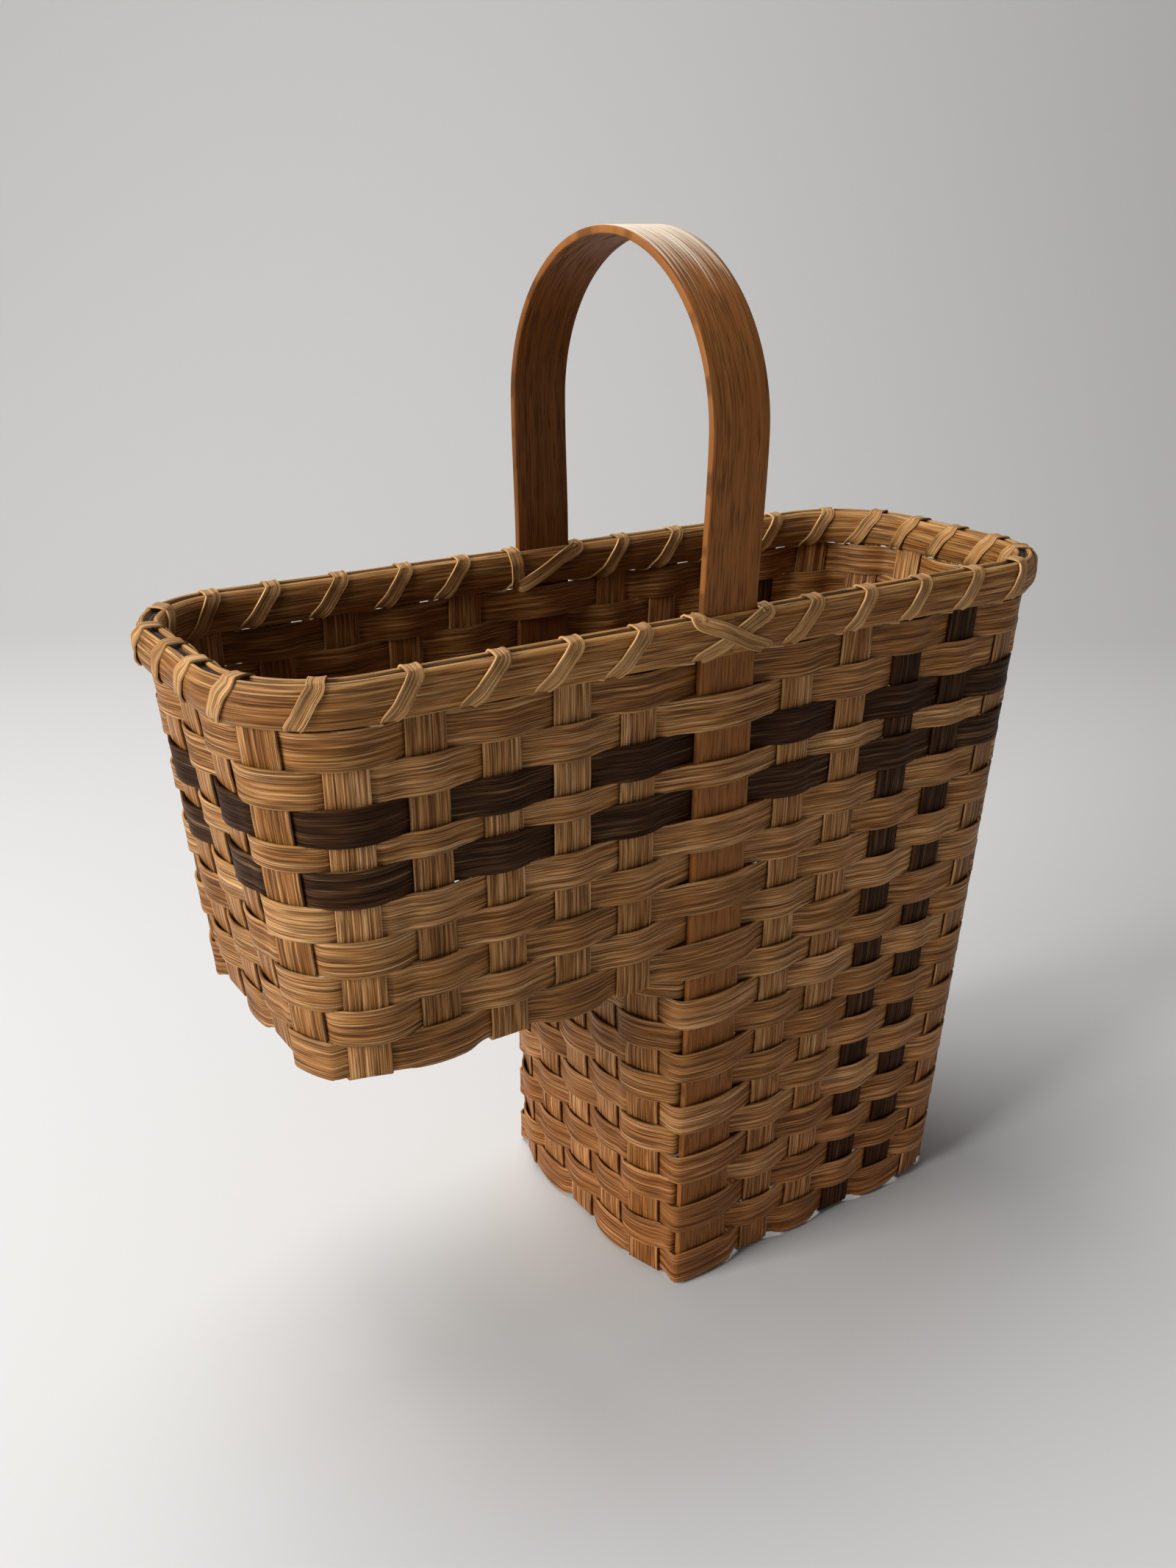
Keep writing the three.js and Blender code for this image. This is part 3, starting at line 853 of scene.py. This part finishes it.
# A stake that runs down the tray's end, along its base, down the riser, along the foot and up the back
def longStake(i):
    y = longY(i)
    odd = i % 2 == 0
    top = basket["stakeTop"]
    fold = stakes["foldReach"]
    trayMid, footMid = basket["trayMid"], basket["footMid"]
    down = wallPoints(onEnd(y, True, True), top, trayMid + fold, odd, stakes["endSteps"])
    riser = wallPoints(onEnd(y, True, False), trayMid - fold - stakes["riserDrop"], footMid + fold,
                       not odd, stakes["endSteps"])
    up = wallPoints(onEnd(y, False, True), footMid + fold, top, odd, stakes["backSteps"])
    downLean, riserLean, upLean = (abs(wide.x) for _, wide in (down[-1], riser[0], up[0]))
    trayBumps = [(trayStakeX(k, trayMid), (i + k) % 2 == 1) for k in range(stakes["trayCount"])]
    tray = basePoints(y, trayMid, down[-1][0].x + fold + downLean, riser[0][0].x - fold - riserLean,
                      trayBumps)
    legBumps = [(legStakeX(k, footMid), (i + k) % 2 == 1) for k in range(stakes["legCount"])]
    foot = basePoints(y, footMid, riser[-1][0].x + fold + riserLean, up[0][0].x - fold - upLean,
                      [(0, odd)] + legBumps)
    layStake("longStake%d" % (i + 1), "long_stake_%d" % (i + 1), [down, tray, riser, foot, up],
             "honey_splint", stakes["seeds"]["long"] + i)


for i in range(stakes["longCount"]):
    longStake(i)
for i in range(stakes["trayCount"]):
    crossStake("tray", i, partial(trayStakeX, i), basket["trayMid"], "honey_splint")
for i in range(stakes["legCount"]):
    legSlot = "dyed_splint" if i in stakes["dyedLeg"] else "honey_splint"
    crossStake("leg", i, partial(legStakeX, i), basket["footMid"], legSlot)

# The short stake under the foot, turned up behind the handle's legs
handleStake = {"clear": 0.3, "rise": 15, "steps": 4}


def layHandleStake():
    fold = stakes["foldReach"]
    inset = handle["thick"] / 2 + handleStake["clear"] + stakes["thick"] / 2
    top = basket["footMid"] + handleStake["rise"]
    low = basket["footMid"] + fold
    half = outlineAt(low, True)["half"] - inset
    wide = Vector((stakes["width"] / 2, 0, 0))
    shares = [i / handleStake["steps"] for i in range(handleStake["steps"] + 1)]
    front = [(Vector((0, -half, mix(top, low, share))), wide) for share in shares]
    base = crossPoints(0, basket["footMid"], -half + fold, half - fold, wide)
    rear = [(Vector((0, half, mix(low, top, share))), wide) for share in shares]
    layStake("handleStake", "handle_stake", [front, base, rear], "honey_splint", stakes["seeds"]["handle"])


layHandleStake()
print("stakes laid")


# The handle: one bent strip of oak, with its legs down inside the weave
def bendHandle():
    rimTop = basket["rimTop"]
    rimHalf = outlineAt(rimTop, True)["half"]
    archZ = rimTop + handle["archAboveRim"]
    radius = handle["archRadius"]
    steps = handle["legSteps"]
    leg = []
    for i in range(steps):
        z = mix(handle["foot"], rimTop, i / steps)
        leg.append((-outlineAt(z, True)["half"], z))
    for i in range(steps // 2):
        share = i / (steps // 2)
        leg.append((-mix(rimHalf, radius, eased(share)), mix(rimTop, archZ, share)))
    arch = []
    for i in range(handle["archSteps"] + 1):
        angle = pi * i / handle["archSteps"]
        arch.append((-radius * cos(angle), archZ + radius * sin(angle)))
    rearLeg = [(-y, z) for y, z in reversed(leg)]
    wide = Vector((handle["width"] / 2, 0, 0))
    stations = measured([(Vector((0, y, z)), wide) for y, z in leg + arch + rearLeg])
    total = stations[-1][3]

    # Painted highlight: lighter towards the top of the bend, where the light from above falls, and darker
    # past it, on the leg that stands away from the light
    def tone(s):
        paintedTopHighlight = clamped(1 - abs(s - total / 2) / handle["paintedTopHighlightReach"])
        rear = clamped((s / total - 0.5) * handle["rearSharp"])
        drift = wobble(s, handle["toneSeed"], handle["toneSize"]) * handle["toneDrift"]
        return handle["paintedTopHighlight"] * paintedTopHighlight - handle["rearDarker"] * rear + drift

    mesh = stripMesh("bentHandle", handle["across"], stations, False, handle["grainPlace"], tone)
    addPiece("bentHandle", mesh, ["handle"], "handle_oak", handle["thick"], handle["edge"],
             handle["edgeSteps"])


bendHandle()
print("handle bent")


# The rims: flat oval reed, round towards the outside and flat towards the stakes
rims = {
    "seat": 2.3,
    "edgeThick": 1.7,
    "middleThick": 4.4,
    "swellPower": 2.6,
    "crown": 0.5,
    "around": 9,
    "stepsPerCorner": 16,
    "sideStep": 8,
    "drift": 0.25,
    "driftSize": 60,
    "toneDrift": 0.9,
    "toneSize": 150,
    "grainRow": 4,
}
rimLoop = outlineAt((basket["rimBottom"] + basket["rimTop"]) / 2, True)
frontHandle = faceDistance(rimLoop, 0, False)
rearHandle = faceDistance(rimLoop, 0, True)


# Distances along the rim where a section stands, close together round the corners
def rimMarks(fromS, toS):
    marks = []
    for turn in (-1, 0, 1):
        for (kind, length, *_), begin in zip(rimLoop["parts"], rimLoop["begins"]):
            steps = rims["stepsPerCorner"] if kind == "arc" else max(2, round(length / rims["sideStep"]))
            for i in range(steps):
                mark = turn * rimLoop["length"] + begin + length * i / steps
                if fromS < mark < toS:
                    marks.append(mark)
    return [fromS] + marks + [toS]


# Distance from the stakes' middle, height, and share of the way across, once round a rim's section
def rimSection(way):
    mid = (basket["rimBottom"] + basket["rimTop"]) / 2
    half = (basket["rimTop"] - basket["rimBottom"]) / 2
    seat, crown = rims["seat"], rims["crown"]
    outer = []
    for i in range(rims["around"] + 1):
        t = 2 * i / rims["around"] - 1
        swell = mix(rims["edgeThick"], rims["middleThick"], max(0, 1 - abs(t) ** rims["swellPower"]))
        outer.append((way * (seat + swell), mid + half * t, t))
    return outer + [
        (way * (seat + crown), mid + half, 1),
        (way * seat, mid + half - crown, 1),
        (way * seat, mid - half + crown, -1),
        (way * (seat + crown), mid - half, -1),
    ]


# A closed section carried along the rim
def sweep(name, section, marks, closed, seed, grainRow, toneSize):
    around = len(section)
    tone = driftTone(seed * 9, toneSize, rims["toneDrift"])
    girth = [0]
    for j in range(around):
        a, b = section[j], section[(j + 1) % around]
        girth.append(girth[-1] + hypot(b[0] - a[0], b[1] - a[1]))
    bm, layers, places = splintGrid(len(marks) - 1, around)
    for vert, (i, j) in places.items():
        point, out = spotOn(rimLoop, marks[i])
        away, z, t = section[j % around]
        spot = point + out * away
        spot.z = z + wobble(marks[i], seed * 10, rims["driftSize"]) * rims["drift"]
        vert.co = spot * mm
        vert[layers["across"]] = t
        vert[layers["tone"]] = tone(marks[i])
    spreadGrain(bm, layers, places, (seed, grainRow + seed), lambda i, j: (marks[i], girth[j]))
    bmesh.ops.remove_doubles(bm, verts=bm.verts, dist=1e-6)
    if not closed:
        bmesh.ops.holes_fill(bm, edges=[e for e in bm.edges if e.is_boundary], sides=0)
    return keptMesh(bm, name)


for name, node, way, seed in (
    ("outerRim", "outer_rim", 1, 0.7),
    ("innerRim", "inner_rim", -1, 1.9),
):
    marks = rimMarks(frontHandle, frontHandle + rimLoop["length"])
    mesh = sweep(name, rimSection(way), marks, True, seed, rims["grainRow"], rims["toneSize"])
    addPiece(name, mesh, [node], "rim_reed")

# The filler: a dark strip between the rims, parted by the handle, with a hollow along its top
filler = {
    "half": 1.9,
    "sunk": 1.2,
    "deep": 5.5,
    "lip": 0.5,
    "lipDrop": 0.4,
    "hollow": 0.35,
    "handleGap": 0.4,
    "toneSize": 90,
    "grainRow": 5,
}


def fillerSection():
    half, lip = filler["half"], filler["lip"]
    top = basket["rimTop"] - filler["sunk"]
    side = top - filler["lipDrop"]
    bottom = top - filler["deep"]
    return [
        (-half, side, -0.6),
        (-half + lip, top, -0.3),
        (0, top - filler["hollow"], 0),
        (half - lip, top, 0.3),
        (half, side, 0.6),
        (half, bottom, 0.6),
        (-half, bottom, -0.6),
    ]


past = handle["width"] / 2 + filler["handleGap"]
for name, node, start, end, seed in (
    ("fillerBack", "rim_filler_back", frontHandle, rearHandle, 2.6),
    ("fillerTray", "rim_filler_tray", rearHandle, frontHandle + rimLoop["length"], 3.4),
):
    marks = rimMarks(start + past, end - past)
    mesh = sweep(name, fillerSection(), marks, False, seed, filler["grainRow"], filler["toneSize"])
    addPiece(name, mesh, [node], "rim_filler")
print("rims fitted")


# The lashing: one narrow strip wound round both rims and crossed over the handle. Its stops are
# shares of the way up or down, of the rim's thickness there, and of the lift over a turn below.
lash = {
    "width": 7.3,
    "thick": 0.9,
    "edge": 0.2,
    "across": 4,
    "curl": 0.42,
    "perSpan": 5,
    "clear": 0.45,
    "lift": 0.35,
    "beside": 19.3,
    "turnGap": 14,
    "between": 0.5,
    "betweenBack": 0.7,
    "slant": 17,
    "farSlant": 13,
    "cornerSlant": 9,
    "overSlant": 1,
    "insideSlant": 14,
    "nearHandle": 60,
    "slantFrom": 140,
    "slantOver": 60,
    "outsideStops": [(0.28, 0.9, 1), (0.5, 1.0, 1), (0.72, 0.95, 1)],
    "insideStops": [(0.3, 0.95, 0), (0.52, 1.0, 0), (0.75, 0.9, 0)],
    "crossedStops": [(0.3, 0.95, 0), (0.55, 1.0, 0.8), (0.75, 0.9, 1), (0.92, 0.4, 1)],
    "underShare": 0.4,
    "toneDrift": 0.8,
    "toneSize": 90,
    "toneSeed": 12,
    "grainPlace": (7.7, 6.0),
}


# How far a turn moves along the rim as it climbs: little at the corners, much near the handle
def turnSlant(start):
    point, out = spotOn(rimLoop, start)
    if abs(out.x) > 0.05:
        return lash["cornerSlant"]
    fromHandle = abs(point.x)
    if fromHandle < lash["nearHandle"]:
        return lash["slant"]
    if point.x > 0:
        return lash["farSlant"]
    share = max(0, fromHandle - lash["slantFrom"]) / lash["slantOver"]
    return mix(lash["slant"], lash["cornerSlant"], share)


# Where each turn starts and reaches the top, and whether it crosses over another
def lashTurns():
    ring = crossings(True)
    places = []
    for crossing in ring:
        if "x" in crossing:
            places.append(faceDistance(rimLoop, crossing["x"](rimLoop["z"]), crossing["rear"]))
        else:
            places.append(endDistance(rimLoop, crossing["y"], crossing["left"]))
    lap = places[0] + rimLoop["length"]
    beside = lash["beside"]
    turns = []
    start = (places[-1] + lap) / 2 - rimLoop["length"]
    for crossing, at, following in zip(ring, places, places[1:] + [lap]):
        if "handle" in crossing:
            turns.append((at - beside, at + beside, False))
            turns.append((at + beside, at - beside, True))
            start = at + beside + lash["turnGap"]
        else:
            turns.append((start, start + turnSlant(start), False))
            onFrontBack = frontHandle < at < rimLoop["length"] / 3
            start = mix(at, following, lash["betweenBack"] if onFrontBack else lash["between"])
    return turns, start


# Control points: place along the rim, distance from its middle, height, and facing
def lashPath():
    turns, last = lashTurns()
    low, high = basket["rimBottom"], basket["rimTop"]
    skin = lash["clear"] + lash["thick"] / 2
    face = rims["seat"] + rims["middleThick"] + lash["clear"] + lash["thick"] / 2
    shoulder = rims["seat"] + rims["edgeThick"] + lash["clear"] + lash["thick"] / 2
    bends = {
        "under": (1.2, low - 0.75, (0, -1)),
        "lowEdge": (shoulder + 0.35, low + 1.2, (1, -0.5)),
        "highEdge": (shoulder + 0.45, high - 1.3, (1, 0.5)),
        "over": (shoulder - 1.6, high + skin, (0.25, 1)),
    }
    controls = []

    def bend(place, side, kind):
        away, z, (outward, upward) = bends[kind]
        controls.append((place, side * away, z, (side * outward, upward)))

    def cross(fromS, toS, fromZ, toZ, side, stops, lift):
        for share, full, raised in stops:
            away = mix(shoulder, face, full) + raised * lift
            controls.append((mix(fromS, toS, share), side * away, mix(fromZ, toZ, share), (side, 0)))

    for i, (start, top, crossed) in enumerate(turns):
        following = turns[i + 1][0] if i + 1 < len(turns) else last
        lift = lash["thick"] + lash["lift"] if crossed else 0
        bend(start, 1, "under")
        bend(start, 1, "lowEdge")
        cross(start, top, low, high, 1, lash["outsideStops"], lift)
        bend(top, 1, "highEdge")
        bend(top, 1, "over")
        top += 0 if crossed else lash["overSlant"]
        landing = min(following, top + (2 * lash["beside"] if crossed else lash["insideSlant"]))
        bend(top, -1, "over")
        bend(top, -1, "highEdge")
        stops = lash["crossedStops"] if crossed else lash["insideStops"]
        cross(top, landing, high, low, -1, stops, lift)
        if i + 1 < len(turns):
            bend(landing, -1, "lowEdge")
            bend(mix(landing, following, lash["underShare"]), -1, "under")
    # Where two control points fall on each other, the second is dropped
    kept = [controls[0]]
    for control in controls[1:]:
        if sum(abs(control[k] - kept[-1][k]) for k in range(3)) > 0.01:
            kept.append(control)
    return kept


# A smooth curve through the middle two of four values
def spline(values, t):
    a, b, c, d = values
    square = (2 * a - 5 * b + 4 * c - d) * t * t
    cube = (3 * b - a - 3 * c + d) * t ** 3
    return 0.5 * (2 * b + (c - a) * t + square + cube)


def windLashing():
    placed = []
    for s, away, z, (outward, upward) in lashPath():
        point, out = spotOn(rimLoop, s)
        spot = point + out * away
        normal = (out * outward + Vector((0, 0, upward))).normalized()
        placed.append((Vector((spot.x, spot.y, z)), normal))
    points = []
    for i in range(len(placed) - 1):
        near = [placed[clamped(i + k, 0, len(placed) - 1)] for k in (-1, 0, 1, 2)]
        for k in range(lash["perSpan"]):
            t = k / lash["perSpan"]
            normal = near[1][1].lerp(near[2][1], t).normalized()
            points.append((spline([place for place, _ in near], t), normal))
    points.append(placed[-1])
    stations = []
    for (point, normal), (along, distance) in zip(points, courseOf([point for point, _ in points])):
        wide = along.cross(normal).normalized() * (lash["width"] / 2)
        stations.append((point, wide, along, distance))
    tone = driftTone(lash["toneSeed"], lash["toneSize"], lash["toneDrift"])
    mesh = stripMesh("rimLashing", lash["across"], stations, False, lash["grainPlace"], tone, lash["curl"])
    addPiece("rimLashing", mesh, ["rim_lashing"], "lashing_splint", lash["thick"], lash["edge"])


windLashing()
print("lashing wound")

# The camera, at the photograph's place: its focal length is in pixels of a 2134 pixel high picture
view = {
    "place": (-0.40918, -0.58191, 0.54719),
    "turn": 33.58,
    "down": 21.72,
    "roll": 0.29,
    "focalPixels": 1971,
    "pictureHeight": 2134,
    "sensor": 24,
    "nearest": 0.02,
}


def setCamera():
    data = bpy.data.cameras.new("camera")
    data.sensor_fit = "VERTICAL"
    data.sensor_height = view["sensor"]
    data.lens = view["sensor"] * view["focalPixels"] / view["pictureHeight"]
    data.clip_start = view["nearest"]
    camera = bpy.data.objects.new("camera", data)
    bpy.context.scene.collection.objects.link(camera)
    camera.location = view["place"]
    turn = Matrix.Rotation(-radians(view["turn"]), 3, "Z")
    down = Matrix.Rotation(radians(90 - view["down"]), 3, "X")
    roll = Matrix.Rotation(radians(view["roll"]), 3, "Z")
    camera.rotation_euler = (turn @ down @ roll).to_euler()
    bpy.context.scene.camera = camera
    bpy.context.scene.view_settings.view_transform = "Standard"


setCamera()

# The stage: one pale sheet that runs from the floor up into the backdrop, square to the camera
stage = {
    "front": -2.2,
    "back": 2.3,
    "side": 4.2,
    "bend": 1.1,
    "height": 2.6,
    "segments": 24,
    "color": (0.6, 0.6, 0.595, 1),
    "roughness": 0.9,
}


def layStage():
    bm = bmesh.new()
    start = bm.verts.new((-stage["side"], stage["front"], 0))
    end = bm.verts.new((stage["side"], stage["front"], 0))
    edges = [bm.edges.new((start, end))]

    def pull(edges, step):
        made = bmesh.ops.extrude_edge_only(bm, edges=edges)["geom"]
        verts = [item for item in made if isinstance(item, bmesh.types.BMVert)]
        bmesh.ops.translate(bm, verts=verts, vec=step)
        made = [item for item in made if isinstance(item, bmesh.types.BMEdge)]
        return [edge for edge in made if all(vert in verts for vert in edge.verts)]

    bend = stage["bend"]
    edges = pull(edges, (0, stage["back"] - bend - stage["front"], 0))
    for i in range(stage["segments"]):
        a = pi / 2 * i / stage["segments"]
        b = pi / 2 * (i + 1) / stage["segments"]
        edges = pull(edges, (0, bend * (sin(b) - sin(a)), bend * (cos(a) - cos(b))))
    pull(edges, (0, 0, stage["height"]))
    for face in bm.faces:
        face.smooth = True
    mesh = keptMesh(bm, "stageSheet")
    mesh.transform(Matrix.Rotation(-radians(view["turn"]), 4, "Z"))
    finish = Finish("paleStage")
    finish.shader.inputs["Base Color"].default_value = stage["color"]
    finish.shader.inputs["Roughness"].default_value = stage["roughness"]
    mesh.materials.append(finish.material)
    sheet = bpy.data.objects.new("stageSheet", mesh)
    bpy.context.scene.collection.objects.link(sheet)


layStage()

# Light: a soft window above, a strong one far to the left, and a weak low strip in front
lights = {
    "topWindow": {"place": (-0.25, 0.6, 1.9), "aim": (0, 0, 0.2), "size": (1.3, 1.0), "power": 29,
                  "color": (1.0, 0.99, 0.98)},
    "leftWindow": {"place": (-2.8, 0.0, 1.4), "aim": (0, 0, 0.3), "size": (1.4, 1.2), "power": 110,
                   "color": (1.0, 0.985, 0.965)},
    "frontFill": {"place": (0.0, -2.4, 0.25), "aim": (0, -0.2, 0.15), "size": (2.4, 0.4), "power": 7,
                  "color": (0.98, 0.99, 1.0)},
}


def addLight(name, place, aim, size, power, color):
    data = bpy.data.lights.new(name, "AREA")
    data.shape = "RECTANGLE"
    data.size, data.size_y = size
    data.energy = power
    data.color = color
    lamp = bpy.data.objects.new(name, data)
    bpy.context.scene.collection.objects.link(lamp)
    lamp.location = place
    lamp.rotation_euler = (Vector(aim) - Vector(place)).to_track_quat("-Z", "Y").to_euler()


for name, light in lights.items():
    addLight(name, **light)

# The world lights the basket weakly, and the camera sees it brighter where the sheet doesn't reach
sky = {"color": (0.9, 0.92, 0.95, 1), "light": 0.1, "seen": 0.55}


def hangSky():
    world = bpy.data.worlds.new("studio")
    world.use_nodes = True
    tree = world.node_tree
    background = tree.nodes["Background"]
    rays = tree.nodes.new("ShaderNodeLightPath").outputs
    kinds = ("Camera", "Glossy", "Transmission")
    camera, glossy, through = (Wire(tree, rays["Is %s Ray" % kind]) for kind in kinds)
    strength = (camera + glossy + through).clipped() * (sky["seen"] - sky["light"]) + sky["light"]
    tree.links.new(strength.socket, background.inputs["Strength"])
    background.inputs["Color"].default_value = sky["color"]
    bpy.context.scene.world = world


hangSky()

print("scene ready")
